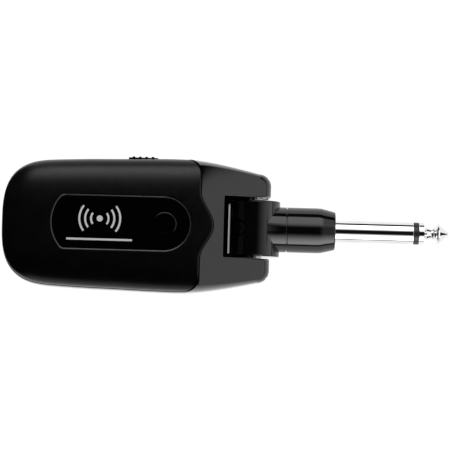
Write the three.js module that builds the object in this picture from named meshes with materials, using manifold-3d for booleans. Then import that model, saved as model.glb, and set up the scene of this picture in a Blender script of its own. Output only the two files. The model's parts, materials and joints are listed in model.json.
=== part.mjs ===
// A wireless guitar transmitter: a pebble-shaped body whose fork carries a folding 6.35 mm jack plug.
// Millimetres. +X runs along the unfolded plug, +Z out of the front face, and the body lies on its
// back at Z 0. Dimensions along X are measured from the body's rounded end; the exported group is
// centred on its whole length.
import * as THREE from "three";
import { mergeVertices } from "three/addons/utils/BufferGeometryUtils.js";
import Module from "manifold-3d";

const wasm = await Module();
wasm.setup();

// ---------- driving dimensions ----------

const SEAM = 0.2; // gap between neighbouring shells
const CLEAR = 0.3; // gap round an inner piece
const WALL = 1.5;
const SLIVER = 0.012; // smaller details than this are merged away

const BODY = {
  length: 74.4,
  centre: 37.2, // rings shrink towards this X
  nose: 17, // length of the rounded end
  noseHalf: 17.6, // half width that the rounded end starts from
  growth: [[0.55, 10, 28], [0.5, 24, 48]], // how much wider it becomes, between two X
  widest: 48,
  widestHalf: 18.65,
  flankFall: 0.26, // slope that the flanks tend to, towards the fork
  flankBlend: 14.6,
  corner: 3.5, // plan radius of the fork's ends
  parting: 9, // the back shell meets the upper housing here, at the hinge's height
  ledge: 15.5, // the top cover stands on the upper housing here
  height: 24,
  backInset: 5.5,
  backRise: 8,
  squareness: 3, // exponent of every superellipse in the body
};
const COVER = {
  start: 0.3,
  nose: 16.7,
  noseHalf: 17.15,
  half: 18.2,
  end: 66,
  corner: 3.8,
  edge: 55,
  tongue: 3.7, // the wavy edge reaches this much further at its middle
  tongueHalf: 9.5,
  roofFlat: 45, // the roof falls from here towards the fork
  roofFall: 0.006,
  wall: 1.6,
};
const DECK = { start: 55, high: 22.5, drop: 7.9, curve: 1.35, crown: 1.5, crease: 1.8, rampStart: 50 };
const SLOT = { start: 61.5, half: 8.45 };
const HINGE = { x: 69.9, z: BODY.parting };
const GROOVE = {
  tipEnd: 14,
  shaftHalf: 4.1,
  shaftTop: 13.1,
  gripStart: 46,
  gripHalf: 6.9,
  gripTop: 15.9,
  wall: 1.2,
};
const PANEL = { start: 14.3, straight: 17.2, centre: 45, half: 7.3, top: 23.3, thick: 0.8 };
const SEAT = { x0: 12.4, x1: 50, half: 9.4, z0: 21.3, z1: 22.9 }; // thick floor under the panel
const BUTTON = { x: 45.3, radius: 3.3, flange: 4.2, proud: 0.15, travel: 0.4 };
const SWITCH = { x: 38.7, z: 12.3, half: 4.05, high: 3, travel: 2, recess: 0.7 };
const RIB = { pitch: 1.76, half: 0.35, high: 0.3 }; // of the switch's thumb piece
const PORT = { z: 12.7, half: 4.5, high: 3.2, deep: 7.3 };
const CLIP = { x: [22, 49], half: 2.5, y0: 15.5, y1: 16.3, z0: 13.2 }; // snap tabs under the cover
const PLUG = {
  barrel: 7.2,
  barrelHalf: 7.75,
  collar: 6.3,
  collarEnd: 9,
  grip: 6.3,
  gripTaper: 18.5,
  shoulder: 22.6,
  shoulderRadius: 5.3,
  shaft: 3.175,
  length: 31.75, // a 6.35 mm plug, from its shoulder to its tip
  ringAt: 21.8,
  ringLength: 1.5,
};
const AXLE = { radius: 2.3, bore: 1.3, half: 12.3 };
const POCKET = { x0: 65.9, x1: 73.7, y0: 10, y1: 13.9, z0: 5.1, z1: 12.9 };
const BOARD = { x0: 6.5, x1: 51.5, half: 12.5, z: 17.4, thick: 1 };
const CELL = { x0: 16, x1: 46.4, y0: -14.9, y1: -8.4, z0: 4.3, z1: 15.7 };
const HOUSING_SCREWS = [[11, 12.1], [11, -12.1], [57.5, 13.3], [57.5, -13.3]];
const BOSS = { back: 2.7, front: 2.3, bore: 1.2, pilot: 1, seat: 2.25 }; // radii at the housing screws
const HEAD_DEPTH = 1.9; // of the housing screws' heads, inside the rounded back
const POST = { radius: 1.7, pilot: 0.9, deep: 5 }; // carry the main board
const BOARD_SCREWS = [[9, 7.5], [9, -7.5], [48.5, 10.8], [48.5, -10.8]];
const OVERALL = HINGE.x + PLUG.shoulder + PLUG.length;

const FINISHES = {
  mattePlastic: { color: 0x0d0d0e, roughness: 0.62, metalness: 0 },
  glossPlastic: { color: 0x0a0a0b, roughness: 0.16, metalness: 0 },
  glossPanel: { color: 0x020203, roughness: 0.08, metalness: 0 },
  chrome: { color: 0xd8d9dc, roughness: 0.08, metalness: 1 },
  steel: { color: 0x9a9da2, roughness: 0.32, metalness: 1 },
  brass: { color: 0xb58d4a, roughness: 0.3, metalness: 1 },
  insulator: { color: 0x161617, roughness: 0.4, metalness: 0 },
  board: { color: 0x12402a, roughness: 0.45, metalness: 0 },
  chip: { color: 0x1a1a1c, roughness: 0.5, metalness: 0 },
  cell: { color: 0xb9bcc0, roughness: 0.35, metalness: 0 },
  foam: { color: 0x2a2a2c, roughness: 0.9, metalness: 0 },
  light: { color: 0xe9efe8, roughness: 0.3, metalness: 0 },
  redWire: { color: 0xa81c18, roughness: 0.5, metalness: 0 },
  blackWire: { color: 0x101011, roughness: 0.5, metalness: 0 },
};

// ---------- solids ----------

// A three.js geometry as a manifold-3d solid.
function solid(geometry) {
  const bare = geometry.index ? geometry.toNonIndexed() : geometry.clone();
  bare.deleteAttribute("normal");
  bare.deleteAttribute("uv");
  const merged = mergeVertices(bare, 1e-4);
  return new wasm.Manifold(
    new wasm.Mesh({
      numProp: 3,
      vertProperties: merged.attributes.position.array,
      triVerts: new Uint32Array(merged.index.array),
    }),
  );
}

// A manifold-3d solid as a three.js geometry, without the slivers that booleans leave.
function geometryOf(made) {
  const mesh = made.simplify(SLIVER).getMesh();
  const geometry = new THREE.BufferGeometry();
  geometry.setAttribute("position", new THREE.BufferAttribute(mesh.vertProperties, 3));
  geometry.setIndex(new THREE.BufferAttribute(mesh.triVerts, 1));
  return geometry;
}

const join = (first, ...rest) => rest.reduce((made, next) => made.add(next), first);
const cut = (first, ...rest) => rest.reduce((made, next) => made.subtract(next), first);

function boxGeometry([x0, x1], [y0, y1], [z0, z1]) {
  const box = new THREE.BoxGeometry(x1 - x0, y1 - y0, z1 - z0);
  return box.translate((x0 + x1) / 2, (y0 + y1) / 2, (z0 + z1) / 2);
}
const box = (x, y, z) => solid(boxGeometry(x, y, z));

// A closed profile of [along, radius] points turned about an axis: "x", "y" or "z".
function revolve(profile, axis = "x", segments = 24) {
  const points = profile.map(([along, radius]) => new THREE.Vector2(radius, along));
  const lathe = new THREE.LatheGeometry(points, segments);
  if (axis === "x") lathe.rotateZ(-Math.PI / 2);
  if (axis === "z") lathe.rotateX(Math.PI / 2);
  return lathe;
}

const rod = (from, to, radius, axis, segments) =>
  revolve([[from, 0], [from, radius], [to, radius], [to, 0]], axis, segments);
const sleeve = (from, to, outer, inner, axis, segments) =>
  revolve([[from, inner], [from, outer], [to, outer], [to, inner], [from, inner]], axis, segments);

// An upright prism over a plan shape.
function prism(shape, z0, z1, curveSegments = 8) {
  const made = new THREE.ExtrudeGeometry(shape, { depth: z1 - z0, bevelEnabled: false, curveSegments });
  return made.translate(0, 0, z0);
}

function roundedRectangle(x0, x1, half, radius) {
  const shape = new THREE.Shape();
  shape.moveTo(x0 + radius, -half);
  shape.lineTo(x1 - radius, -half);
  shape.absarc(x1 - radius, -half + radius, radius, -Math.PI / 2, 0);
  shape.lineTo(x1, half - radius);
  shape.absarc(x1 - radius, half - radius, radius, 0, Math.PI / 2);
  shape.lineTo(x0 + radius, half);
  shape.absarc(x0 + radius, half - radius, radius, Math.PI / 2, Math.PI);
  shape.lineTo(x0, -half + radius);
  shape.absarc(x0 + radius, -half + radius, radius, Math.PI, 1.5 * Math.PI);
  return shape;
}

// ---------- the body's outline and surfaces ----------

const superellipse = (t) => (1 - Math.min(1, Math.abs(t)) ** BODY.squareness) ** (1 / BODY.squareness);
const smoothstep = (from, to, x) => THREE.MathUtils.smoothstep(x, from, to);

const growth = (x) =>
  BODY.growth.reduce((sum, [size, from, to]) => sum + size * smoothstep(from, to, x), 0);

function flankHalf(x) {
  const past = Math.max(0, x - BODY.widest);
  const fall = BODY.flankFall * (Math.hypot(past, BODY.flankBlend) - BODY.flankBlend);
  return BODY.noseHalf + growth(x) - fall;
}
const coverHalf = (x) => COVER.noseHalf + growth(x);

// Half of a plan outline, from the tip of the rounded end to the middle of the far end.
function halfOutline({ start, nose, end, corner, flank }) {
  const points = [];
  const noseSteps = 9;
  const flankStep = 3;
  const cornerSteps = 4;
  for (let i = 0; i < noseSteps; i++) {
    const angle = (i / noseSteps) * (Math.PI / 2);
    const power = 2 / BODY.squareness;
    const x = start + nose * (1 - Math.cos(angle) ** power);
    points.push([x, flank(x) * Math.sin(angle) ** power]);
  }
  for (let x = start + nose; x < end - corner; x += flankStep) points.push([x, flank(x)]);
  const shoulder = flank(end - corner) - corner;
  for (let i = 0; i <= cornerSteps; i++) {
    const angle = (1 - i / cornerSteps) * (Math.PI / 2);
    points.push([end - corner + corner * Math.cos(angle), shoulder + corner * Math.sin(angle)]);
  }
  points.push([end, 0]);
  return points;
}

const bodyOutline = halfOutline({
  start: 0,
  nose: BODY.nose,
  end: BODY.length,
  corner: BODY.corner,
  flank: flankHalf,
});
const coverOutline = halfOutline({
  start: COVER.start,
  nose: COVER.nose,
  end: COVER.end,
  corner: COVER.corner,
  flank: coverHalf,
});

// A closed ring over half an outline: down the -Y side to the far end, and back up the +Y side.
// at(x, y) gives each point's [inset, z]; the inset shrinks the ring towards the body's centre.
function ring(half, at) {
  const side = half.map(([x, y]) => {
    const [inset] = at(x, y);
    const px = BODY.centre + (x - BODY.centre) * (1 - inset / BODY.centre);
    const py = y * (1 - inset / BODY.widestHalf);
    return [px, py, at(x, y, px, py)[1]];
  });
  const near = side.map(([x, y, z]) => new THREE.Vector3(x, -y, z));
  const far = side.slice(1, -1).reverse().map(([x, y, z]) => new THREE.Vector3(x, y, z));
  return [...near, ...far];
}

// A closed solid through rings stacked from low to high, with caps made of strips across Y.
function loft(rings) {
  const size = rings[0].length;
  const half = size / 2;
  const positions = rings.flat().flatMap((p) => [p.x, p.y, p.z]);
  const faces = [];
  for (let k = 0; k + 1 < rings.length; k++) {
    for (let i = 0; i < size; i++) {
      const [a, b] = [k * size + i, k * size + ((i + 1) % size)];
      faces.push(a, b, b + size, a, b + size, a + size);
    }
  }
  const cap = (base, flip) => {
    for (let i = 0; i < half; i++) {
      const [a, b] = [base + i, base + i + 1];
      const [c, d] = [base + size - i - 1, base + ((size - i) % size)];
      const strip = [a, b, c, a, c, d];
      if (flip) strip.reverse();
      faces.push(...strip);
    }
  };
  cap(0, true);
  cap((rings.length - 1) * size, false);
  const geometry = new THREE.BufferGeometry();
  geometry.setAttribute("position", new THREE.Float32BufferAttribute(positions, 3));
  geometry.setIndex(faces);
  return solid(geometry);
}

// Height of the top cover's skin.
function coverTop(x, y) {
  const run = Math.max(0, 1 - (x - COVER.start) / COVER.nose);
  const half = coverHalf(x) * superellipse(run);
  const roof = BODY.height - COVER.roofFall * Math.max(0, x - COVER.roofFlat) ** 2;
  return BODY.ledge + (roof - BODY.ledge) * superellipse(run) * superellipse(half > 0 ? y / half : 0);
}

// Height of the upper housing: a level ledge under the cover, ramping up to the fork's falling deck.
function deckTop(x, y) {
  const along = Math.max(0, (x - DECK.start) / (BODY.length - DECK.start));
  const deck = DECK.high - DECK.drop * along ** DECK.curve - DECK.crown * (y / COVER.half) ** 2;
  return BODY.ledge + (deck - BODY.ledge) * smoothstep(DECK.rampStart, DECK.start, x);
}

function coverBlock() {
  const shares = [0, 0.012, 0.04, 0.09, 0.16, 0.26, 0.4, 0.58, 0.8];
  const rings = shares.map((share) =>
    ring(coverOutline, (x, y, px, py) => [
      share * BODY.widestHalf,
      share && px !== undefined ? coverTop(px, py) : BODY.ledge,
    ]),
  );
  return loft(rings);
}

function housingBlock() {
  const shoulder = [[0, 0], [0.06, 0.35], [0.18, 0.62], [0.5, 0.87], [1, 1], [3, 1], [6, 1]];
  const ramp = (x) => smoothstep(DECK.rampStart, DECK.start, x);
  const shrink = (x) => DECK.crease * THREE.MathUtils.lerp(0.2, 1, ramp(x));
  const rings = shoulder.map(([inset, rise]) =>
    ring(bodyOutline, (x, y, px = x, py = y) => [
      inset * shrink(x),
      BODY.parting + (deckTop(px, py) - BODY.parting) * rise,
    ]),
  );
  return loft(rings);
}

function backBlock() {
  const steps = 5;
  const rings = [];
  for (let i = 0; i <= steps; i++) {
    const angle = (i / steps) * (Math.PI / 2);
    const inset = BODY.backInset * (1 - Math.sin(angle));
    rings.push(ring(bodyOutline, () => [inset, BODY.backRise * (1 - Math.cos(angle))]));
  }
  rings.push(ring(bodyOutline, () => [0, BODY.parting - SEAM]));
  return loft(rings);
}

// A prism inside the body's walls, as far as the fork's root.
function innerPrism(z0, z1, wall = WALL) {
  const rings = [z0, z1].map((z) => ring(bodyOutline, () => [wall, z]));
  return loft(rings).intersect(box([0, SLOT.start - WALL], [-20, 20], [z0 - 1, z1 + 1]));
}

// The cover's plan: rounded corners and a wavy edge with a tongue at its middle.
function coverPlan(grow = 0) {
  const shape = new THREE.Shape();
  const outside = BODY.widestHalf + 2;
  const edge = COVER.edge + grow;
  const half = COVER.half + grow;
  const radius = COVER.corner;
  const waveSteps = 12;
  shape.moveTo(-2, -outside);
  shape.lineTo(edge - radius, -outside);
  shape.lineTo(edge - radius, -half);
  shape.absarc(edge - radius, radius - half, radius, -Math.PI / 2, 0);
  for (let i = 0; i <= waveSteps; i++) {
    const y = COVER.tongueHalf * (-1 + (2 * i) / waveSteps);
    const wave = (COVER.tongue / 2) * (1 + Math.cos((Math.PI * y) / COVER.tongueHalf));
    shape.lineTo(edge + wave, y);
  }
  shape.absarc(edge - radius, half - radius, radius, 0, Math.PI / 2);
  shape.lineTo(edge - radius, outside);
  shape.lineTo(-2, outside);
  return shape;
}

// The front panel's plan: a shallow arc at one end and a half circle round the button at the other.
function panelPlan(grow = 0) {
  const half = PANEL.half + grow;
  const sagitta = PANEL.straight - PANEL.start;
  const radius = (PANEL.half ** 2 + sagitta ** 2) / (2 * sagitta) + grow;
  const centre = PANEL.start - grow + radius;
  const spread = Math.asin(half / radius);
  const shape = new THREE.Shape();
  shape.moveTo(centre - radius * Math.cos(spread), -half);
  shape.lineTo(PANEL.centre, -half);
  shape.absarc(PANEL.centre, 0, half, -Math.PI / 2, Math.PI / 2);
  shape.lineTo(centre - radius * Math.cos(spread), half);
  shape.absarc(centre, 0, radius, Math.PI - spread, Math.PI + spread);
  return shape;
}

const upright = (x, y, radius, z0, z1, segments = 16) =>
  solid(rod(z0, z1, radius, "z", segments).translate(x, y, 0));
const across = (radius, y0, y1, segments = 24) =>
  solid(rod(y0, y1, radius, "y", segments).translate(HINGE.x, 0, HINGE.z));
const bothSides = (make) => [make(1), make(-1)];
const span = (side, a, b) => (side > 0 ? [a, b] : [-b, -a]);

// ---------- the shells ----------

// Everything that is cut out of both housing halves round the plug: the fork's slot, the stowing
// groove, the hinge pockets in the ears with their wire channels, and the bush seats.
function plugCuts() {
  const pockets = bothSides((side) =>
    box([POCKET.x0, POCKET.x1], span(side, POCKET.y0, POCKET.y1), [POCKET.z0, POCKET.z1]),
  );
  const channels = bothSides((side) =>
    box([SLOT.start - WALL - 1, POCKET.x0 + 1], span(side, 9.8, 13.6), [6.5, 11.5]),
  );
  return [
    box([SLOT.start, BODY.length + 5], [-SLOT.half, SLOT.half], [-5, BODY.height + 5]),
    box([GROOVE.gripStart, SLOT.start + 1], [-GROOVE.gripHalf, GROOVE.gripHalf], [-5, GROOVE.gripTop]),
    box(
      [GROOVE.tipEnd, GROOVE.gripStart + 1],
      [-GROOVE.shaftHalf, GROOVE.shaftHalf],
      [-5, GROOVE.shaftTop],
    ),
    across(3.6, -POCKET.y0 - 1, POCKET.y0 + 1),
    ...pockets,
    ...channels,
  ];
}

function grooveWalls() {
  const { tipEnd, shaftHalf, shaftTop, gripStart, gripHalf, gripTop, wall } = GROOVE;
  const shaft = box(
    [tipEnd - wall, gripStart + 1],
    [-shaftHalf - wall, shaftHalf + wall],
    [1, shaftTop + wall],
  );
  const grip = box(
    [gripStart - wall, SLOT.start - WALL - SEAM],
    [-gripHalf - wall, gripHalf + wall],
    [1, gripTop + wall],
  );
  return join(shaft, grip);
}

function backShell() {
  const outer = backBlock();
  const hollow = innerPrism(1.8, BODY.parting + 1, 3.4);
  const upperHollow = innerPrism(4, BODY.parting + 1);
  const bosses = HOUSING_SCREWS.map(([x, y]) =>
    upright(x, y, BOSS.back, 0.8, BODY.parting - SEAM).intersect(outer),
  );
  const posts = BOARD_SCREWS.map(([x, y]) => upright(x, y, POST.radius, WALL - 0.5, BOARD.z));
  const screwHoles = HOUSING_SCREWS.flatMap(([x, y]) => [
    upright(x, y, BOSS.seat, -1, HEAD_DEPTH + 1.4),
    upright(x, y, BOSS.bore, -1, BODY.parting + 1, 12),
  ]);
  const postHoles = BOARD_SCREWS.map(([x, y]) =>
    upright(x, y, POST.pilot, BOARD.z - POST.deep, BOARD.z + 1, 8),
  );
  const portPosts = [4.3, 10.6].flatMap((x) =>
    bothSides((side) => upright(x, side * 3.8, 1.1, 1.2, PORT.z - PORT.high / 2 - 1, 12)),
  );
  const walled = join(cut(outer, hollow, upperHollow), grooveWalls(), ...portPosts, ...bosses, ...posts);
  return cut(walled, ...screwHoles, ...postHoles, ...plugCuts());
}

function upperHousing() {
  const pocket = solid(prism(coverPlan(SEAM), BODY.ledge - SEAM, BODY.height + 5));
  const hollow = innerPrism(BODY.parting - 1, 18.4);
  const low = BODY.parting + SEAM;
  const bosses = HOUSING_SCREWS.map(([x, y]) => upright(x, y, BOSS.front, low, BODY.ledge - 2 * SEAM));
  const ribs = HOUSING_SCREWS.map(([x, y]) => {
    const reach = y * (0.93 * flankHalf(x)) / Math.abs(y);
    const across = [Math.min(y, reach), Math.max(y, reach)];
    return box([x - 0.7, x + 0.7], across, [low, BODY.ledge - 2 * SEAM]);
  });
  const pilots = HOUSING_SCREWS.map(([x, y]) => upright(x, y, BOSS.pilot, low - 1, 14, 12));
  const wall = flankHalf(SWITCH.x);
  const recessHalf = SWITCH.half + SWITCH.travel + CLEAR;
  const recess = box(
    [SWITCH.x - recessHalf, SWITCH.x + recessHalf],
    [wall - SWITCH.recess, wall + 2],
    [SWITCH.z - SWITCH.high / 2 - CLEAR, SWITCH.z + SWITCH.high / 2 + CLEAR],
  );
  const slitHalf = 1.2 + SWITCH.travel + CLEAR;
  const slit = box(
    [SWITCH.x - slitHalf, SWITCH.x + slitHalf],
    [wall - 4, wall + 2],
    [SWITCH.z - 0.9, SWITCH.z + 0.9],
  );
  const portMouth = box([-2, 3.5], [-PORT.half - CLEAR, PORT.half + CLEAR], [
    PORT.z - PORT.high / 2 - CLEAR,
    PORT.z + PORT.high / 2 + CLEAR,
  ]);
  const shell = join(cut(housingBlock(), hollow, pocket), ...bosses, ...ribs);
  return cut(shell, ...pilots, recess, slit, portMouth, ...plugCuts());
}

function topCover() {
  const plan = solid(prism(coverPlan(), BODY.ledge - 3, BODY.height + 5));
  const outer = coverBlock().intersect(plan);
  const shrink = { x: 0.955, y: 0.913, z: 0.81 };
  const inside = geometryOf(coverBlock())
    .translate(-BODY.centre, 0, -BODY.ledge)
    .scale(shrink.x, shrink.y, shrink.z)
    .translate(BODY.centre, 0, BODY.ledge);
  const skirt = geometryOf(solid(prism(coverPlan(-COVER.wall), BODY.ledge - 2, BODY.height)));
  const hollow = solid(inside).intersect(solid(skirt));
  const foot = loft(
    [BODY.ledge - 1, BODY.ledge + 0.5].map((z) => ring(coverOutline, () => [COVER.wall, z])),
  ).intersect(solid(skirt));
  const seat = box([SEAT.x0, SEAT.x1], [-SEAT.half, SEAT.half], [SEAT.z0, SEAT.z1]);
  const buttonSeat = upright(BUTTON.x, 0, SEAT.half, SEAT.z0, SEAT.z1, 32);
  const clips = CLIP.x.flatMap((x) =>
    bothSides((side) =>
      box([x - CLIP.half, x + CLIP.half], span(side, CLIP.y0, CLIP.y1), [CLIP.z0, BODY.ledge + 1.5]),
    ),
  );
  const panelSeat = solid(prism(panelPlan(0.12), PANEL.top - PANEL.thick - 0.1, BODY.height + 5, 12));
  const buttonHole = upright(BUTTON.x, 0, BUTTON.radius + 0.2, 18, BODY.height + 5, 24);
  const tunnelNotch = box(
    [50, COVER.end],
    [-GROOVE.gripHalf - 1.6, GROOVE.gripHalf + 1.6],
    [BODY.ledge - 1, GROOVE.gripTop + GROOVE.wall + CLEAR],
  );
  const walled = join(cut(outer, hollow, foot), seat, buttonSeat, ...clips);
  return cut(walled, panelSeat, buttonHole, tunnelNotch);
}

function labelPanel() {
  const plate = solid(prism(panelPlan(), PANEL.top - PANEL.thick, PANEL.top, 12));
  return cut(plate, upright(BUTTON.x, 0, BUTTON.radius + 0.2, 18, BODY.height, 24));
}

// ---------- controls ----------

// Turned about its own upright axis, with its origin on the panel's face.
function buttonCap() {
  const { radius, flange, proud } = BUTTON;
  return revolve(
    [[-4, 0], [-4, 1.2], [-2.9, 1.2], [-2.9, flange], [-2.2, flange], [-2.2, radius], [0, radius],
      [proud, radius - 0.3], [proud * 0.6, radius * 0.5], [proud * 0.4, 0]],
    "z",
  );
}

// A ribbed thumb piece on a neck, with its origin on the outer face of its plate.
function switchKnob() {
  const plate = box([-SWITCH.half, SWITCH.half], [-0.8, 0], [-SWITCH.high / 2, SWITCH.high / 2]);
  const neck = box([-1.2, 1.2], [-2.2, -0.5], [-0.6, 0.6]);
  const ribs = [-1.5, -0.5, 0.5, 1.5].map((n) => {
    const x = n * RIB.pitch;
    return box([x - RIB.half, x + RIB.half], [-0.2, RIB.high], [-SWITCH.high / 2, SWITCH.high / 2]);
  });
  return join(plate, neck, ...ribs);
}

// ---------- the folding plug, with its origin on the hinge axis ----------

function knuckle() {
  const { barrel, barrelHalf, collar, collarEnd } = PLUG;
  const chamfer = 0.5;
  const drum = solid(
    revolve(
      [[-barrelHalf, 0], [-barrelHalf, barrel - chamfer], [chamfer - barrelHalf, barrel],
        [barrelHalf - chamfer, barrel], [barrelHalf, barrel - chamfer], [barrelHalf, 0]],
      "y", 40,
    ),
  );
  const neck = solid(rod(0, collarEnd, collar, "x", 32));
  const axleBore = solid(rod(-10, 10, AXLE.radius + 0.05, "y"));
  const socket = solid(rod(3.4, collarEnd + 1, 3.7, "x"));
  const wireway = solid(rod(0, 5, 1.4, "x", 12));
  const screwSeat = solid(tiltToScrew(rod(barrel - 1.2, barrel + 2, 2.4, "z", 20)));
  const screwHole = solid(tiltToScrew(rod(0, barrel, 1.1, "z", 12)));
  return cut(join(drum, neck), axleBore, socket, wireway, screwSeat, screwHole);
}

// The lock screw enters the barrel behind its crown, on the side away from the plug.
const SCREW_TILT = THREE.MathUtils.degToRad(-38);
const tiltToScrew = (geometry) => geometry.rotateY(SCREW_TILT);

// A cross-recessed screw along +Z, its head's top at the origin.
function screw(headRadius, headHigh, shankRadius, length) {
  const body = solid(
    revolve(
      [[-length, 0], [-length, shankRadius * 0.5], [shankRadius - length, shankRadius],
        [-headHigh, shankRadius], [-headHigh, headRadius], [-0.25, headRadius],
        [0, headRadius - 0.3], [0, 0]],
      "z", 14,
    ),
  );
  const slotHalf = headRadius * 0.55;
  const deep = headHigh * 0.55;
  return cut(
    body,
    box([-slotHalf, slotHalf], [-0.25, 0.25], [-deep, 1]),
    box([-0.25, 0.25], [-slotHalf, slotHalf], [-deep, 1]),
  );
}

function hingeAxle() {
  const tube = solid(sleeve(-AXLE.half, AXLE.half, AXLE.radius, AXLE.bore, "y", 20));
  return cut(tube, solid(rod(0, 5, 0.9, "x", 10)));
}

const gripSleeve = () => {
  const { collarEnd, grip, gripTaper, shoulder, shoulderRadius } = PLUG;
  const start = collarEnd + SEAM;
  const bore = 3.6;
  return revolve(
    [[start, bore], [start, grip - 0.2], [start + 0.2, grip], [gripTaper, grip],
      [shoulder - 0.3, shoulderRadius + 0.1], [shoulder, shoulderRadius - 0.1], [shoulder, bore],
      [start, bore]],
    "x", 32,
  );
};

const plugSleeve = () => {
  const { shoulder, shaft, ringAt } = PLUG;
  return revolve(
    [[4.6, 1.9], [4.6, 2.9], [6, 2.9], [6, 3.3], [shoulder - 2, 3.3], [shoulder - 2, shaft],
      [shoulder + ringAt, shaft], [shoulder + ringAt, 1.9], [4.6, 1.9]],
    "x",
  );
};

const insulatorRing = () => {
  const start = PLUG.shoulder + PLUG.ringAt + 0.05;
  return sleeve(start, start + PLUG.ringLength - 0.1, PLUG.shaft - 0.05, 1.25, "x");
};

const coreInsulator = () => sleeve(4, PLUG.shoulder + PLUG.ringAt - 0.2, 1.7, 1.25, "x", 14);

// The tip: a short land, a waist, a ball and a blunt cone, on a rod that runs back through the sleeve.
function plugTip() {
  const end = PLUG.shoulder + PLUG.length;
  const land = PLUG.shoulder + PLUG.ringAt + PLUG.ringLength;
  const rodRadius = 1;
  return revolve(
    [[3.6, 0], [3.6, rodRadius], [land, rodRadius], [land, 3.1], [land + 0.1, PLUG.shaft],
      [end - 7.1, PLUG.shaft], [end - 6.9, 2.9], [end - 6.5, 2.3], [end - 6.2, 2], [end - 4.9, 1.4],
      [end - 4.6, 1.75], [end - 4.1, 1.8], [end - 3.6, 2.6], [end - 3.3, 2.9], [end - 3, 2.97],
      [end - 2.6, 2.7], [end - 0.7, 0.95], [end - 0.3, 0.6], [end - 0.1, 0.3], [end, 0]],
    "x",
  );
}

// A ring with a hexagonal outside.
const lockNut = () =>
  cut(solid(rod(-0.7, 0.7, 3.4, "y", 6)), solid(rod(-1, 1, AXLE.radius + CLEAR, "y", 20)));

// A washer pressed into three waves.
function waveWasher() {
  const geometry = sleeve(-0.1, 0.1, 3.6, AXLE.radius + CLEAR, "y", 24);
  const position = geometry.attributes.position;
  for (let i = 0; i < position.count; i++) {
    const angle = Math.atan2(position.getZ(i), position.getX(i));
    position.setY(i, position.getY(i) + 0.12 * Math.cos(3 * angle));
  }
  return geometry;
}

// ---------- electronics ----------

function mainBoard() {
  const plan = roundedRectangle(BOARD.x0, BOARD.x1, BOARD.half, 5);
  const plate = solid(prism(plan, BOARD.z + 0.1, BOARD.z + BOARD.thick, 5));
  return cut(plate, ...BOARD_SCREWS.map(([x, y]) => upright(x, y, 1.1, 15, 20, 10)));
}

function usbShell() {
  const outer = roundedPort(PORT.half, PORT.high / 2, 1.5);
  const inner = roundedPort(PORT.half - 0.3, PORT.high / 2 - 0.3, 1.2).translate(-0.5, 0, 0);
  const body = solid(outer);
  const mouth = solid(inner).subtract(box([PORT.deep - 1.2, PORT.deep + 1], [-6, 6], [-3, 3]));
  const tongue = box([1, PORT.deep - 0.6], [-3.3, 3.3], [-0.35, 0.35]);
  return join(cut(body, mouth), tongue);
}

// A receptacle's section with round corners, drawn along +X from its mouth.
function roundedPort(half, high, radius) {
  const outline = roundedRectangle(-half, half, high, Math.min(radius, high - 0.01));
  const section = prism(outline, 0, PORT.deep, 4);
  return section.rotateZ(Math.PI / 2).rotateY(Math.PI / 2);
}

function lead(points, radius) {
  const curve = new THREE.CatmullRomCurve3(points.map((p) => new THREE.Vector3(...p)));
  const section = new THREE.Shape().absarc(0, 0, radius, 0, 2 * Math.PI);
  const settings = { steps: 18, extrudePath: curve, curveSegments: 4, bevelEnabled: false };
  return new THREE.ExtrudeGeometry(section, settings);
}

const block = (x, y, z) => new THREE.BoxGeometry(x, y, z);

// ---------- assembly ----------

const transmitter = new THREE.Group();
const body = new THREE.Group();
body.position.x = -OVERALL / 2;
const plug = new THREE.Group();
plug.position.set(HINGE.x, 0, HINGE.z);
transmitter.add(body);
body.add(plug);

function place(group, name, shape, finish, position = [0, 0, 0], rotation = [0, 0, 0]) {
  const geometry = shape.isBufferGeometry ? shape : geometryOf(shape);
  const mesh = new THREE.Mesh(geometry, new THREE.MeshStandardMaterial(FINISHES[finish]));
  mesh.name = name;
  mesh.position.set(...position);
  mesh.rotation.set(...rotation);
  group.add(mesh);
}

place(body, "back_shell", backShell(), "glossPlastic");
place(body, "upper_housing", upperHousing(), "glossPlastic");
place(body, "top_cover", topCover(), "mattePlastic");
place(body, "label_panel", labelPanel(), "glossPanel");
place(body, "channel_button", buttonCap(), "glossPanel", [BUTTON.x, 0, PANEL.top]);
const knobAt = [SWITCH.x, flankHalf(SWITCH.x) + 0.25, SWITCH.z];
place(body, "switch_knob", switchKnob(), "mattePlastic", knobAt);

// Fasteners: the housing screws' heads face down, out of the back.
const headDown = [Math.PI, 0, 0];
HOUSING_SCREWS.forEach(([x, y], i) =>
  place(body, `housing_screw_${i + 1}`, screw(1.9, 1.2, 0.85, 11.4), "steel", [x, y, HEAD_DEPTH], headDown),
);
BOARD_SCREWS.forEach(([x, y], i) => {
  const z = BOARD.z + BOARD.thick + 0.8;
  place(body, `board_screw_${i + 1}`, screw(1.7, 0.7, 0.7, 4.4), "steel", [x, y, z]);
});

// Electronics on and under the main board.
const boardTop = BOARD.z + BOARD.thick + 0.05;
place(body, "main_board", mainBoard(), "board");
place(body, "radio_shield", block(12, 10, 1.8), "steel", [22, 0, boardTop + 0.9]);
place(body, "controller_chip", block(6, 6, 0.9), "chip", [33, 5, boardTop + 0.45]);
place(body, "audio_codec_chip", block(5, 5, 0.9), "chip", [33, -5, boardTop + 0.45]);
place(body, "charger_chip", block(3, 3, 0.9), "chip", [12, -4, boardTop + 0.45]);
place(body, "chip_antenna", block(2, 7, 1), "light", [9.4, 1.2, boardTop + 0.5]);
place(body, "tact_switch", block(3.6, 3.6, 0.4), "steel", [BUTTON.x, 0, boardTop + 0.2]);
place(body, "status_led", block(1.6, 0.8, 0.6), "light", [BUTTON.x - 3.2, 0, boardTop + 0.3]);
const cell = boxGeometry([CELL.x0, CELL.x1], [CELL.y0, CELL.y1], [CELL.z0, CELL.z1]);
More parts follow.
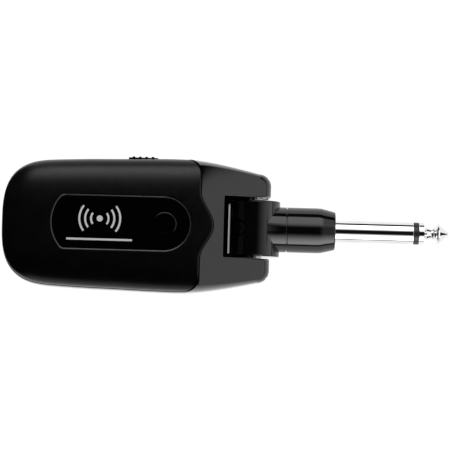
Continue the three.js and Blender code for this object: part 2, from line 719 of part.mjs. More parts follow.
const padFar = -GROOVE.shaftHalf - GROOVE.wall - 0.1;
const pad = boxGeometry([CELL.x0 + 3, CELL.x1 - 3], [CELL.y1 + 0.1, padFar], [5, 12]);
place(body, "battery_cell", cell, "cell");
place(body, "battery_pad", pad, "foam");

// Slide switch on its own upright board, and the charging port on a small board at the rounded end.
const wallInside = flankHalf(SWITCH.x) - WALL;
place(body, "switch_board", block(13, 0.8, 6.4), "board", [SWITCH.x, wallInside - 3.4, SWITCH.z]);
place(body, "slide_switch", block(9, 2, 3.4), "steel", [SWITCH.x, wallInside - 1.8, SWITCH.z]);
place(body, "charge_board", block(9.5, 10, 0.8), "board", [7.4, 0, PORT.z - PORT.high / 2 - 0.5]);
place(body, "usb_port", usbShell(), "steel", [1.3, 0, PORT.z]);
place(body, "charge_led", block(0.8, 1.6, 0.6), "light", [11.2, 3, PORT.z - PORT.high / 2 + 0.3]);

// Leads: battery to board, and the plug's two leads out of the hollow axle and up to the board's edge.
const batteryLead = (y) => [
  [CELL.x0 - 0.4, y, 11], [14.2, y, 12.2], [13.9, y + 0.2, 15.2], [15.6, y + 0.5, 17.1],
];
place(body, "battery_lead_red", lead(batteryLead(-10.4), 0.45), "redWire");
place(body, "battery_lead_black", lead(batteryLead(-9), 0.45), "blackWire");
const plugLead = (z, bend, end) => [
  [HINGE.x, 11, z], [HINGE.x - 0.1, 12.3, z], [HINGE.x - 1.4, 13.1, z], [66.2, 13.1, z],
  [64.6, 12.3, z], [62, 10.9, z], [60, 10.2, z], [58, 9.3, z + 0.3], [56, 9.2, z + 0.6],
  [bend + 0.8, 9.2, z + 3.5], [bend, 9.2, z + 6.5], [bend - 0.1, end + 0.5, 19.1],
  [bend - 1.5, end, 19.2], [49.4, end, 18.9],
];
place(body, "plug_signal_lead", lead(plugLead(9.6, 52.9, 8.5), 0.35), "redWire");
place(body, "plug_ground_lead", lead(plugLead(8.4, 52.1, 7.3), 0.35), "blackWire");

// The hinge's fixed pieces in the ears.
bothSides((side) => {
  const word = side > 0 ? "far" : "near";
  const at = (y) => [HINGE.x, side * y, HINGE.z];
  place(body, `hinge_bush_${word}`, sleeve(-0.9, 0.9, 3.35, AXLE.radius + 0.1, "y", 20), "brass", at(9.4));
  place(body, `wave_washer_${word}`, waveWasher(), "steel", at(10.6));
});

// The folding plug.
place(plug, "knuckle", knuckle(), "glossPlastic");
const lockScrew = geometryOf(screw(2, 0.9, 0.85, 3.6)).translate(0, 0, PLUG.barrel - 0.25);
place(plug, "knuckle_screw", tiltToScrew(lockScrew), "steel");
place(plug, "hinge_axle", hingeAxle(), "steel");
bothSides((side) =>
  place(plug, `lock_nut_${side > 0 ? "far" : "near"}`, lockNut(), "steel", [0, side * 11.6, 0]),
);
place(plug, "grip_sleeve", gripSleeve(), "glossPlastic");
place(plug, "plug_sleeve", plugSleeve(), "chrome");
place(plug, "insulator_ring", insulatorRing(), "insulator");
place(plug, "core_insulator", coreInsulator(), "insulator");
place(plug, "plug_tip", plugTip(), "chrome");

export default transmitter;
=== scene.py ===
"""The looks of a wireless guitar transmitter with a folding jack plug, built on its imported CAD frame.

Shapes are drawn in millimetres, with X measured from the body's rounded end, and turned into the
frame's metres by in_frame(). Every shell is a smooth skin over the CAD solid that it stands for.
"""

import json
import math

import bmesh
import bpy
from mathutils import Matrix, Vector
from mathutils.geometry import delaunay_2d_cdt

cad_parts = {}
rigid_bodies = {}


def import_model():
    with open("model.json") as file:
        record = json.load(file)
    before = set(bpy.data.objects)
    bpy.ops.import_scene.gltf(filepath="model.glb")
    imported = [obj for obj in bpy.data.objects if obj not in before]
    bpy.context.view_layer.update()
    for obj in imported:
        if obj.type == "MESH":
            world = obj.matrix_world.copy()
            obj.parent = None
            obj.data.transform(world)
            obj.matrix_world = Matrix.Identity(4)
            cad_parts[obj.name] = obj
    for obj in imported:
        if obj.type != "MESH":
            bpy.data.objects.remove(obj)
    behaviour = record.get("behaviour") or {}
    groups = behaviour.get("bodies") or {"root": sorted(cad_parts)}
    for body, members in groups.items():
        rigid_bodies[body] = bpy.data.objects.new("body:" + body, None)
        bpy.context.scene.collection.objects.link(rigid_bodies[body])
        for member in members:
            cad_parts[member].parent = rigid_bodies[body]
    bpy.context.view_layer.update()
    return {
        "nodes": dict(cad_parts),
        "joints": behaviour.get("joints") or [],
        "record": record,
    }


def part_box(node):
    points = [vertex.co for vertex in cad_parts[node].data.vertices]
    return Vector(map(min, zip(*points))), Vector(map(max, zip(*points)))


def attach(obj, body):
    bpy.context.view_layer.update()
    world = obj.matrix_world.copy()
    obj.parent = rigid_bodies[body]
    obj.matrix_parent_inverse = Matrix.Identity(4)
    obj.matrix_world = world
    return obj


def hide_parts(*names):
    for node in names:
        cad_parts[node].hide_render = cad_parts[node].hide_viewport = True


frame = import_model()

MM = 0.001
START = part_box("upper_housing")[0].x  # the body's rounded end
HINGE = Vector(frame["joints"][0]["pos_m"])
PANEL_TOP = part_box("label_panel")[1].z / MM
KNOB_LOW, KNOB_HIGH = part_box("switch_knob")
BUTTON_LOW, BUTTON_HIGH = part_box("channel_button")

# ---------- dimensions of the body, in millimetres ----------

LENGTH = (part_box("upper_housing")[1].x - START) / MM
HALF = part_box("back_shell")[1].y / MM
CENTRE = LENGTH / 2
PARTING = HINGE.z / MM
LEDGE = 15.5
HEIGHT = 23.93
NOSE, NOSE_HALF = 17, 17.59
WIDEST, FLANK_FALL, FLANK_BLEND = 48, 0.275, 14.6
EAR_CORNER = 3.5
SQUARENESS = 3
BACK_INSET, BACK_RISE = 5.5, 8

COVER_START, COVER_NOSE, COVER_NOSE_HALF, COVER_HALF = 0.3, 16.7, 17.15, 18.2
COVER_EDGE, COVER_CORNER = 55, 3.8
TONGUE, TONGUE_HALF = 3.7, 9.5
ROOF_FLAT, ROOF_FALL = 45, 0.006
COVER_GAP = 0.15

DECK_START, DECK_HIGH, DECK_DROP, DECK_CURVE, DECK_CROWN = 55, 22.5, 7.9, 1.35, 1.5
RAMP_START = 50
CREASE_START = COVER_EDGE - 0.5  # where the deck's side crease leaves the cover's corner
CREASE_END_INSET = 0.9
EAR_END_INSET = 1.9

SLOT_START, SLOT_HALF, SLOT_ROUND = 61.5, 8.45, 0.3
GROOVE = {"tip": 14, "shaft": 4.1, "shaft_top": 13.1, "grip_from": 46, "grip": 6.9, "grip_top": 15.9}

PANEL_START, PANEL_STRAIGHT, PANEL_CENTRE, PANEL_HALF = 14.3, 17.2, 45, 7.3
PANEL_CORNER = 1.8
BUTTON_X, BUTTON_RADIUS = 45.3, 3.3


# ---------- small helpers ----------


def in_frame(point):
    """A point in body millimetres as metres in the row frame."""
    x, y, z = point
    return Vector((x * MM + START, y * MM, z * MM))


def lerp(a, b, share):
    return a + (b - a) * share


def smoothstep(low, high, value):
    share = min(1, max(0, (value - low) / (high - low)))
    return share * share * (3 - 2 * share)


def superellipse(share):
    return (1 - min(1, abs(share)) ** SQUARENESS) ** (1 / SQUARENESS)


def arc(centre, radii, start, end, steps):
    """Points on an elliptical arc, from angle start to angle end in degrees, both ends included."""
    angles = [math.radians(lerp(start, end, i / steps)) for i in range(steps + 1)]
    return [(centre[0] + radii[0] * math.cos(a), centre[1] + radii[1] * math.sin(a)) for a in angles]


def line(start, end, steps):
    """Points from start up to, but without, end."""
    return [tuple(lerp(a, b, i / steps) for a, b in zip(start, end)) for i in range(steps)]


def mirrored(half):
    """A closed loop from its -Y half, whose first and last points lie on the middle line."""
    return half + [(x, -y) for x, y in reversed(half[1:-1])]


# ---------- meshes ----------


def mesh_from(name, points, faces):
    """A mesh from millimetre points, with doubled points merged and its faces turned outwards."""
    mesh = bpy.data.meshes.new(name)
    mesh.from_pydata([in_frame(p) for p in points], [], faces)
    shape = bmesh.new()
    shape.from_mesh(mesh)
    bmesh.ops.remove_doubles(shape, verts=shape.verts, dist=2e-6)
    bmesh.ops.recalc_face_normals(shape, faces=shape.faces)
    shape.to_mesh(mesh)
    shape.free()
    return mesh


def piece(name, mesh):
    made = bpy.data.objects.new(name, mesh)
    bpy.context.scene.collection.objects.link(made)
    return made


def boolean(target, cutter, operation="DIFFERENCE"):
    """Cuts or joins cutter into target, and removes cutter."""
    step = target.modifiers.new("boolean", "BOOLEAN")
    step.operation = operation
    step.solver = "EXACT"
    step.object = cutter
    evaluated = target.evaluated_get(bpy.context.evaluated_depsgraph_get())
    mesh = bpy.data.meshes.new_from_object(evaluated)
    target.modifiers.clear()
    target.data = mesh
    bpy.data.objects.remove(cutter)
    return target


def shade(made, angle=34):
    """Smooth shading whose corner normals are weighted by face area and split at sharp edges."""
    mesh = made.data
    limit = math.cos(math.radians(angle))
    around = [[] for _ in mesh.vertices]
    for face in mesh.polygons:
        for vertex in face.vertices:
            around[vertex].append((face.normal.copy(), face.area))
    normals = []
    for face in mesh.polygons:
        face.use_smooth = True
        for vertex in face.vertices:
            total = Vector()
            for normal, area in around[vertex]:
                if normal.dot(face.normal) > limit:
                    total += normal * area
            normals.append(total.normalized() if total.length > 0 else face.normal.copy())
    mesh.normals_split_custom_set(normals)
    return made


def box_cutter(low, high):
    """A plain block between two corners in body millimetres, for boolean()."""
    (x0, y0, z0), (x1, y1, z1) = low, high
    points = [(x, y, z) for x in (x0, x1) for y in (y0, y1) for z in (z0, z1)]
    faces = [(0, 1, 3, 2), (4, 6, 7, 5), (0, 4, 5, 1), (2, 3, 7, 6), (0, 2, 6, 4), (1, 5, 7, 3)]
    return piece("cutter", mesh_from("cutter", points, faces))


def prism(loop, low, high, name="cutter"):
    """An upright prism over a closed plan loop."""
    count = len(loop)
    points = [(x, y, low) for x, y in loop] + [(x, y, high) for x, y in loop]
    faces = [(i, (i + 1) % count, (i + 1) % count + count, i + count) for i in range(count)]
    faces += [tuple(range(count)), tuple(range(count, 2 * count))]
    return piece(name, mesh_from(name, points, faces))


def lathe(name, profile, axis="X", centre=(0, 0, 0), segments=96):
    """A profile of (along, radius) points turned about an axis through centre."""
    points, faces = [], []
    for along, radius in profile:
        for i in range(segments):
            angle = 2 * math.pi * i / segments
            u, v = radius * math.cos(angle), radius * math.sin(angle)
            spot = {"X": (along, u, v), "Y": (v, along, u), "Z": (u, v, along)}[axis]
            points.append(tuple(a + b for a, b in zip(spot, centre)))
    for k in range(len(profile) - 1):
        for i in range(segments):
            a, b = k * segments + i, k * segments + (i + 1) % segments
            faces.append((a, b, b + segments, a + segments))
    return piece(name, mesh_from(name, points, faces))


def rounded(profile, radii, steps=5):
    """A lathe profile with its inner corners rounded: radii[i] rounds corner i, and 0 keeps it sharp."""
    made = []
    for i, (point, radius) in enumerate(zip(profile, radii)):
        corner = Vector(point)
        if not radius or i in (0, len(profile) - 1):
            made.append(point)
            continue
        before = (Vector(profile[i - 1]) - corner).normalized()
        after = (Vector(profile[i + 1]) - corner).normalized()
        for step in range(steps + 1):
            share = step / steps
            made.append(
                tuple(
                    corner
                    + before * radius * (1 - share) ** 2
                    + after * radius * share**2
                )
            )
    return made


def sweep_faces(rings):
    """Quads between closed rings of equal length that follow each other in one point list."""
    size = len(rings[0])
    faces = []
    for k in range(len(rings) - 1):
        for i in range(size):
            a, b = k * size + i, k * size + (i + 1) % size
            faces.append((a, b, b + size, a + size))
    return faces


def swept(rings):
    """The points and quads of a surface through closed rings of equal length."""
    return [point for ring in rings for point in ring], sweep_faces(rings)


def cap(loop, height, spacing=0.9, holes=()):
    """Triangles over the area inside a plan loop and outside the holes, raised to height(x, y)."""
    loops = [loop, *holes]
    points, edges = [], []
    for ring in loops:
        base = len(points)
        points += [Vector(p) for p in ring]
        edges += [(base + i, base + (i + 1) % len(ring)) for i in range(len(ring))]
    low_x, high_x = min(p[0] for p in loop), max(p[0] for p in loop)
    low_y, high_y = min(p[1] for p in loop), max(p[1] for p in loop)
    clear = spacing * 0.4
    for i in range(1, int((high_x - low_x) / spacing)):
        for j in range(1, int((high_y - low_y) / spacing)):
            shift = spacing / 2 * (i % 2)
            point = (low_x + i * spacing, low_y + j * spacing + shift)
            if inside(point, loop, clear) and not any(inside(point, h, -clear) for h in holes):
                points.append(Vector(point))
    made, _, faces, *_ = delaunay_2d_cdt(points, edges, [], 0, 1e-6)
    kept = []
    for face in faces:
        middle = sum((made[i] for i in face), Vector((0, 0))) / len(face)
        if inside(middle, loop) and not any(inside(middle, h) for h in holes):
            kept.append(tuple(face))
    return [(p.x, p.y, height(p.x, p.y)) for p in made], kept


def inside(point, loop, margin=0.0):
    """Whether a point lies inside a loop, and at least margin from it (or within -margin outside)."""
    x, y = point
    within = False
    nearest = 1e9
    for (x0, y0), (x1, y1) in zip(loop, loop[1:] + loop[:1]):
        if (y0 > y) != (y1 > y) and x < (x1 - x0) * (y - y0) / (y1 - y0) + x0:
            within = not within
        if margin:
            length = (x1 - x0) ** 2 + (y1 - y0) ** 2
            share = max(0, min(1, ((x - x0) * (x1 - x0) + (y - y0) * (y1 - y0)) / max(length, 1e-12)))
            nearest = min(nearest, math.hypot(x - x0 - share * (x1 - x0), y - y0 - share * (y1 - y0)))
    if margin > 0:
        return within and nearest > margin
    if margin < 0:
        return within or nearest < -margin
    return within


def merged(parts):
    """Several (points, faces) lists as one."""
    points, faces = [], []
    for some_points, some_faces in parts:
        base = len(points)
        points += some_points
        faces += [tuple(i + base for i in face) for face in some_faces]
    return points, faces


# ---------- plan outlines, from the -Y half ----------


def growth(x):
    """How much wider than the rounded end the body has become at x."""
    return 0.55 * smoothstep(10, 28, x) + 0.5 * smoothstep(24, WIDEST, x)


def flank(x):
    past = max(0, x - WIDEST)
    return NOSE_HALF + growth(x) - FLANK_FALL * (math.hypot(past, FLANK_BLEND) - FLANK_BLEND)


def cover_flank(x):
    return COVER_NOSE_HALF + growth(x)


def nose_half(start, length, side, steps=34):
    """A superelliptical rounded end, up to but without its last point on the flank."""
    points = []
    for i in range(steps):
        angle = (i / steps) * math.pi / 2
        x = start + length * (1 - math.cos(angle) ** (2 / SQUARENESS))
        points.append((x, -side(x) * math.sin(angle) ** (2 / SQUARENESS)))
    return points


def flank_stations():
    """X stations along the flank: denser where the cover's corner meets it."""
    arc_from = COVER_EDGE - COVER_CORNER
    coarse = [lerp(NOSE, arc_from, i / 28) for i in range(28)]
    fine = [lerp(arc_from, CREASE_START, i / 10) for i in range(11)]
    rest = [lerp(CREASE_START, LENGTH - EAR_CORNER, i / 14) for i in range(1, 14)]
    return coarse + fine + rest


def crease_y(x):
    """Where the shoulder ends: along the cover's edge first, then along the deck's crease."""
    arc_from = COVER_EDGE - COVER_CORNER
    if x <= arc_from:
        return cover_flank(x) + COVER_GAP
    if x <= CREASE_START:
        radius = COVER_CORNER + COVER_GAP
        return COVER_HALF - COVER_CORNER + math.sqrt(radius**2 - (x - arc_from) ** 2)
    first = flank(CREASE_START) - crease_y(CREASE_START)
    share = (x - CREASE_START) / (LENGTH - EAR_CORNER - CREASE_START)
    return flank(x) - lerp(first, CREASE_END_INSET, share**0.8)


def outer_and_inner_halves():
    """Pairs of -Y half outlines: the widest outline and the line where the shoulder meets the top.

    Both follow the same stations: rounded end, flank, ear's corner, ear's end, slot wall, slot end.
    A third list says how far each station belongs to the slot (0 outside, 1 in the slot).
    """
    outer = nose_half(0, NOSE, flank)
    inner = nose_half(
        COVER_START - COVER_GAP,
        COVER_NOSE + COVER_GAP,
        lambda x: cover_flank(x) + COVER_GAP,
    )
    for x in flank_stations():
        outer.append((x, -flank(x)))
        inner.append((x, -crease_y(x)))
    corner_x = LENGTH - EAR_CORNER
    corner_y = flank(corner_x) - EAR_CORNER
    side = EAR_CORNER - CREASE_END_INSET
    end = EAR_CORNER - EAR_END_INSET
    outer += arc((corner_x, -corner_y), (EAR_CORNER, EAR_CORNER), -90, 0, 10)
    inner += arc((corner_x, -corner_y), (end, side), -90, 0, 10)
    rim = 0.5
    outer += line((LENGTH, -corner_y + 0.4), (LENGTH, -SLOT_HALF - rim), 6)
    inner_end = LENGTH - EAR_END_INSET
    inner += line((inner_end, -corner_y + 0.4), (inner_end, -SLOT_HALF - rim), 6)
    outer += arc((LENGTH - rim, -SLOT_HALF - rim), (rim, rim), 0, 90, 5)
    inner_rim = rim - SLOT_ROUND + 0.1
    inner += arc((inner_end - inner_rim, -SLOT_HALF - rim), (inner_rim, rim - SLOT_ROUND), 0, 90, 5)
    in_slot = [0.0] * (len(outer) - 6) + [i / 5 for i in range(6)]
    wall_steps, end_steps, nook = 14, 10, 0.4
    outer += line((LENGTH - rim - 0.5, -SLOT_HALF), (SLOT_START + nook, -SLOT_HALF), wall_steps)
    top_y = -SLOT_HALF - SLOT_ROUND
    inner += line((inner_end - inner_rim - 0.5, top_y), (SLOT_START + nook, top_y), wall_steps)
    outer += arc((SLOT_START + nook, -SLOT_HALF + nook), (nook, nook), -90, -180, 5)
    wide = nook + SLOT_ROUND
    inner += arc((SLOT_START + nook, -SLOT_HALF + nook), (wide, wide), -90, -180, 5)
    end_from = -SLOT_HALF + nook
    outer += [(SLOT_START, end_from * (1 - i / end_steps)) for i in range(1, end_steps + 1)]
    inner += [(SLOT_START - SLOT_ROUND, end_from * (1 - i / end_steps)) for i in range(1, end_steps + 1)]
    in_slot += [1.0] * (len(outer) - len(in_slot))
    return outer, inner, in_slot


def cover_half(grow=0.0):
    """The cover's plan: rounded end, straight flank, corner, and the wavy edge with its tongue."""
    points = nose_half(COVER_START - grow, COVER_NOSE + grow, lambda x: cover_flank(x) + grow)
    arc_from = COVER_EDGE - COVER_CORNER
    stations = [lerp(COVER_START + COVER_NOSE, arc_from, i / 28) for i in range(28)]
    points += [(x, -cover_flank(x) - grow) for x in stations]
    centre = (arc_from, COVER_CORNER - COVER_HALF)
    radius = COVER_CORNER + grow
    points += arc(centre, (radius, radius), -90, 0, 14)
    for i in range(1, 45):
        y = centre[1] * (1 - i / 44)
        wave = 0.0
        if abs(y) < TONGUE_HALF:
            wave = TONGUE / 2 * (1 + math.cos(math.pi * y / TONGUE_HALF))
        points.append((COVER_EDGE + grow + wave, y))
    return points


def panel_half(grow=0.0):
    """The panel's plan: a shallow arc with rounded corners, and a half circle round the button."""
    half = PANEL_HALF + grow
    sagitta = PANEL_STRAIGHT - PANEL_START
    radius = (PANEL_HALF**2 + sagitta**2) / (2 * sagitta) + grow
    centre = PANEL_START - grow + radius
    corner = PANEL_CORNER + grow
    reach = math.sqrt((radius - corner) ** 2 - (half - corner) ** 2)
    corner_x = centre - reach
    meet = 180 + math.degrees(math.asin((half - corner) / (radius - corner)))
    points = arc((centre, 0), (radius, radius), 180, meet, 14)
    points += arc((corner_x, -half + corner), (corner, corner), meet, 270, 8)[1:]
    points += line((corner_x, -half), (PANEL_CENTRE, -half), 22)[1:]
    points += arc((PANEL_CENTRE, 0), (half, half), -90, 0, 28)
    return points


# ---------- heights ----------


def cover_top(x, y):
    run = max(0, 1 - (x - COVER_START) / COVER_NOSE)
    half = cover_flank(x) * superellipse(run)
    roof = HEIGHT - ROOF_FALL * max(0, x - ROOF_FLAT) ** 2
    across = superellipse(y / half) if half > 0 else 0
    return LEDGE + (roof - LEDGE) * superellipse(run) * across


def deck_top(x, y):
    along = max(0, (x - DECK_START) / (LENGTH - DECK_START))
    deck = DECK_HIGH - DECK_DROP * along**DECK_CURVE - DECK_CROWN * (y / COVER_HALF) ** 2
    if x >= CREASE_START:
        return deck
    # Round the cover's corner the edge climbs from the ledge with the cover's own section.
    edge = cover_flank(x) + COVER_GAP
    full = superellipse(crease_y(CREASE_START) / (cover_flank(CREASE_START) + COVER_GAP))
    share = min(1, superellipse(min(1, abs(y) / edge)) / full)
    return LEDGE + (deck - LEDGE) * share * smoothstep(RAMP_START, COVER_EDGE - COVER_CORNER, x)


# ---------- shells ----------


def housing_skin():
    """The gloss upper housing: side walls, rounded shoulders, the fork's deck and the slot's walls."""
    outer, inner, in_slot = outer_and_inner_halves()
    outer, inner = mirrored(outer), mirrored(inner)
    in_slot = in_slot + in_slot[-2:0:-1]
    tops = [deck_top(x, y) for x, y in inner]
    low = PARTING + 0.1
    drops = [lerp(0.62 * (top - low), SLOT_ROUND, share) for top, share in zip(tops, in_slot)]
    last = math.radians(62)  # the shoulder stops short of level, which leaves the crease
    rings = [[(x, y, low) for x, y in outer]]
    steps = 12
    for k in range(steps + 1):
        ring = []
        for (x0, y0), (x1, y1), top, drop, share in zip(outer, inner, tops, drops, in_slot):
            end = lerp(last, math.pi / 2, share)
            angle = end * k / steps
            inward = (1 - math.cos(angle)) / (1 - math.cos(end))
            upward = math.sin(angle) / math.sin(end)
            ring.append((lerp(x0, x1, inward), lerp(y0, y1, inward), top - drop * (1 - upward)))
        rings.append(ring)
    points, faces = merged([swept(rings), cap(inner, deck_top, 0.8), cap(outer, lambda x, y: low, 3)])
    return piece("housing_skin", mesh_from("housing_skin", points, faces))


def back_skin():
    """The gloss back shell, rounded towards the flat back, with the slot's lower half."""
    outer, _, in_slot = outer_and_inner_halves()
    outer = mirrored(outer)
    in_slot = in_slot + in_slot[-2:0:-1]
    high = PARTING - 0.1
    steps = 12
    levels = [(0.0, high)]
    for k in range(steps + 1):
        angle = (1 - k / steps) * math.pi / 2
        levels.append((BACK_INSET * (1 - math.sin(angle)), BACK_RISE * (1 - math.cos(angle))))
    rings = []
    for inset, z in levels:
        rings.append([back_point(p, share, inset) + (z,) for p, share in zip(outer, in_slot)])
    bottom = [(x, y) for x, y, _ in rings[-1]]
    parts = [swept(rings)]
    parts.append(cap(bottom, lambda x, y: 0.0, 2.5))
    parts.append(cap(outer, lambda x, y: high, 3))
    points, faces = merged(parts)
    return piece("back_skin", mesh_from("back_skin", points, faces))


def back_point(point, in_slot, inset):
    """A plan point of the back shell moved inwards by inset. The slot's walls keep their planes."""
    x, y = point
    if in_slot >= 0.5:
        return (SLOT_START + (x - SLOT_START) * (1 - inset / (LENGTH - SLOT_START)), y)
    anchor = SLOT_HALF * smoothstep(40, SLOT_START, x)
    side = math.copysign(1, y)
    across = anchor + (abs(y) - anchor) * (1 - inset / (HALF - anchor)) if abs(y) > anchor else abs(y)
    return (CENTRE + (x - CENTRE) * (1 - inset / CENTRE), side * across)


def cover_skin():
    """The matte top cover: a dome with an eased wavy edge, and the panel's recess with its rim."""
    outline = mirrored(cover_half())
    recess = mirrored(panel_half(0.24))
    normals = loop_normals(outline)
    foot = LEDGE + 0.05
    eased = 0.5
    insets = [0, 0.04, 0.13, 0.27, 0.5, 0.85, 1.35, 2.0, 2.8]
    rings = [[(x, y, foot) for x, y in outline]]
    for inset in insets:
        ring = []
        for (x, y), (nx, ny) in zip(outline, normals):
            px, py = x - nx * inset, y - ny * inset
            at_edge = smoothstep(COVER_EDGE - COVER_CORNER, COVER_EDGE - 0.6, x)
            ease = eased - math.sqrt(max(0, eased**2 - max(0, eased - inset) ** 2))
            ring.append((px, py, max(foot, cover_top(px, py) - ease * at_edge)))
        rings.append(ring)
    inner = [(x, y) for x, y, _ in rings[-1]]
    rim_width = 0.2
    rim = mirrored(panel_half(0.24 + rim_width))
    parts = [swept(rings)]
    parts.append(cap(inner, cover_top, 0.8, [rim]))
    seat = PANEL_TOP - 0.85
    steps = 4
    lips = []
    for k in range(steps + 1):
        angle = k / steps * math.pi / 2
        share = math.sin(angle)
        fall = rim_width * (1 - math.cos(angle))
        lip = []
        for (a, b), (c, d) in zip(rim, recess):
            lip.append((lerp(a, c, share), lerp(b, d, share), cover_top(a, b) - fall))
        lips.append(lip)
    lips.append([(x, y, seat) for x, y in recess])
    parts.append(swept(lips))
    parts.append(cap(recess, lambda x, y: seat, 2))
    parts.append(cap(outline, lambda x, y: foot, 3))
    points, faces = merged(parts)
    return piece("cover_skin", mesh_from("cover_skin", points, faces))


def loop_normals(loop):
    """Outward plan normals of a loop that runs anticlockwise."""
    normals = []
    for before, after in zip(loop[-1:] + loop[:-1], loop[1:] + loop[:1]):
        dx, dy = after[0] - before[0], after[1] - before[1]
        length = math.hypot(dx, dy)
        normals.append((dy / length, -dx / length))
    return normals


def panel_skin():
    """The gloss panel, a flat plate with a finely eased edge."""
    top = PANEL_TOP
    rings = []
    for inset, z in [(0, top - 0.8), (0, top - 0.12), (0.03, top - 0.04), (0.12, top)]:
        rings.append([(x, y, z) for x, y in mirrored(panel_half(-inset))])
    parts = [swept(rings)]
    parts.append(cap([p[:2] for p in rings[-1]], lambda x, y: top, 4))
    parts.append(cap([p[:2] for p in rings[0]], lambda x, y: top - 0.8, 4))
    points, faces = merged(parts)
    return piece("panel_skin", mesh_from("panel_skin", points, faces))


# ---------- materials ----------


def material(name, colour, roughness, metallic=0.0, **extra):
    """A Principled material. Returns the material, its node tree and the shader node."""
    made = bpy.data.materials.new(name)
    made.use_nodes = True
    tree = made.node_tree
    shader = tree.nodes["Principled BSDF"]
    shader.inputs["Base Color"].default_value = (*colour, 1)
    shader.inputs["Roughness"].default_value = roughness
    shader.inputs["Metallic"].default_value = metallic
    for socket, value in extra.items():
        shader.inputs[socket.replace("_", " ")].default_value = value
    return made, tree, shader


def noise(tree, scale, detail=3.0, stretch=(1, 1, 1)):
    """A noise texture in object space, in features per metre. Returns its output socket."""
    place = tree.nodes.new("ShaderNodeTexCoord")
    mapping = tree.nodes.new("ShaderNodeMapping")
    mapping.inputs["Scale"].default_value = stretch
    texture = tree.nodes.new("ShaderNodeTexNoise")
    texture.inputs["Scale"].default_value = scale
    texture.inputs["Detail"].default_value = detail
    tree.links.new(place.outputs["Object"], mapping.inputs["Vector"])
    tree.links.new(mapping.outputs["Vector"], texture.inputs["Vector"])
    return texture.outputs["Fac"]


def ranged(tree, source, low, high):
    """source from 0.3..0.7 spread over low..high."""
    step = tree.nodes.new("ShaderNodeMapRange")
    step.inputs["From Min"].default_value = 0.3
    step.inputs["From Max"].default_value = 0.7
    step.inputs["To Min"].default_value = low
    step.inputs["To Max"].default_value = high
    tree.links.new(source, step.inputs["Value"])
    return step.outputs["Result"]


def bumped(tree, shader, source, strength, distance):
    bump = tree.nodes.new("ShaderNodeBump")
    bump.inputs["Strength"].default_value = strength
    bump.inputs["Distance"].default_value = distance
    tree.links.new(source, bump.inputs["Height"])
    tree.links.new(bump.outputs["Normal"], shader.inputs["Normal"])


def tinted(tree, shader, source, dark, light):
    mix = tree.nodes.new("ShaderNodeMix")
    mix.data_type = "RGBA"
    mix.inputs[6].default_value = (*dark, 1)
    mix.inputs[7].default_value = (*light, 1)
    tree.links.new(ranged(tree, source, 0, 1), mix.inputs[0])
    tree.links.new(mix.outputs[2], shader.inputs["Base Color"])


def plastic(name, dark, light, rough, grain=None, sheen=0.5):
    """Moulded plastic: a slightly uneven colour and gloss, and a fine bump if it has a grain."""
    made, tree, shader = material(name, light, rough[0], Specular_IOR_Level=sheen)
    tinted(tree, shader, noise(tree, 220, 2), dark, light)
    tree.links.new(ranged(tree, noise(tree, 600, 4), *rough), shader.inputs["Roughness"])
    if grain:
        scale, strength, distance = grain
        bumped(tree, shader, noise(tree, scale, 4), strength, distance)
    return made


def metal(name, dark, light, rough, turned=None):
    """Plated or plain metal, with faint turning marks along X where it was turned on a lathe."""
    made, tree, shader = material(name, light, rough[0], 1.0)
    tinted(tree, shader, noise(tree, 150, 2), dark, light)
    tree.links.new(ranged(tree, noise(tree, 900, 3), *rough), shader.inputs["Roughness"])
    if turned:
        bumped(tree, shader, noise(tree, turned, 2, (1, 0.02, 0.02)), 0.06, 0.00001)
    return made


MATERIALS = {
    "matte_black": plastic(
        "matte_black", (0.0016,) * 3, (0.0034,) * 3, (0.3, 0.36), (2600, 0.55, 0.00003), 0.15
    ),
    "gloss_black": plastic("gloss_black", (0.0015,) * 3, (0.0024,) * 3, (0.07, 0.11)),
    "panel_black": plastic("panel_black", (0.0004,) * 3, (0.0007,) * 3, (0.03, 0.05)),
    "chrome": metal("chrome", (0.74, 0.74, 0.75), (0.86, 0.86, 0.87), (0.035, 0.06), 4000),
    "steel": metal("steel", (0.42, 0.43, 0.45), (0.6, 0.61, 0.63), (0.25, 0.36), 3000),
    "brass": metal("brass", (0.55, 0.38, 0.16), (0.74, 0.55, 0.27), (0.22, 0.34), 3000),
    "insulator_black": plastic("insulator_black", (0.006,) * 3, (0.01,) * 3, (0.3, 0.4)),
    "board_green": plastic(
        "board_green", (0.006, 0.04, 0.02), (0.012, 0.07, 0.04), (0.3, 0.42), (3000, 0.2, 0.00003)
    ),
    "chip_black": plastic("chip_black", (0.01,) * 3, (0.018,) * 3, (0.45, 0.6), (9000, 0.2, 0.00003)),
    "cell_silver": metal("cell_silver", (0.5, 0.51, 0.53), (0.68, 0.69, 0.7), (0.3, 0.45)),
    "foam_grey": plastic("foam_grey", (0.02,) * 3, (0.05,) * 3, (0.85, 0.95), (4000, 0.8, 0.0002)),
    "light_diffuser": plastic("light_diffuser", (0.7, 0.74, 0.7), (0.85, 0.88, 0.85), (0.25, 0.35)),
    "lead_red": plastic("lead_red", (0.3, 0.01, 0.008), (0.45, 0.02, 0.015), (0.4, 0.5)),
    "lead_black": plastic("lead_black", (0.004,) * 3, (0.008,) * 3, (0.4, 0.5)),
    # A grey colour for the panel's rim: a painted highlight along the recess's edge.
    "rim_painted_highlight": plastic("rim_painted_highlight", (0.05,) * 3, (0.06,) * 3, (0.25, 0.3)),
    "print_white": plastic("print_white", (0.86,) * 3, (0.93,) * 3, (0.35, 0.45)),
}


def finish(made, slot, body, *replaced):
    """Gives a piece its material and normals, ties it to its body, and hides the CAD nodes it stands for.
    """
    made.data.materials.clear()
    made.data.materials.append(MATERIALS[slot])
    shade(made)
    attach(made, body)
    if replaced:
        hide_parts(*replaced)
    return made


# ---------- the body's pieces ----------

HOUSING_SCREWS = [(11, 12.1), (11, -12.1), (57.5, 13.3), (57.5, -13.3)]


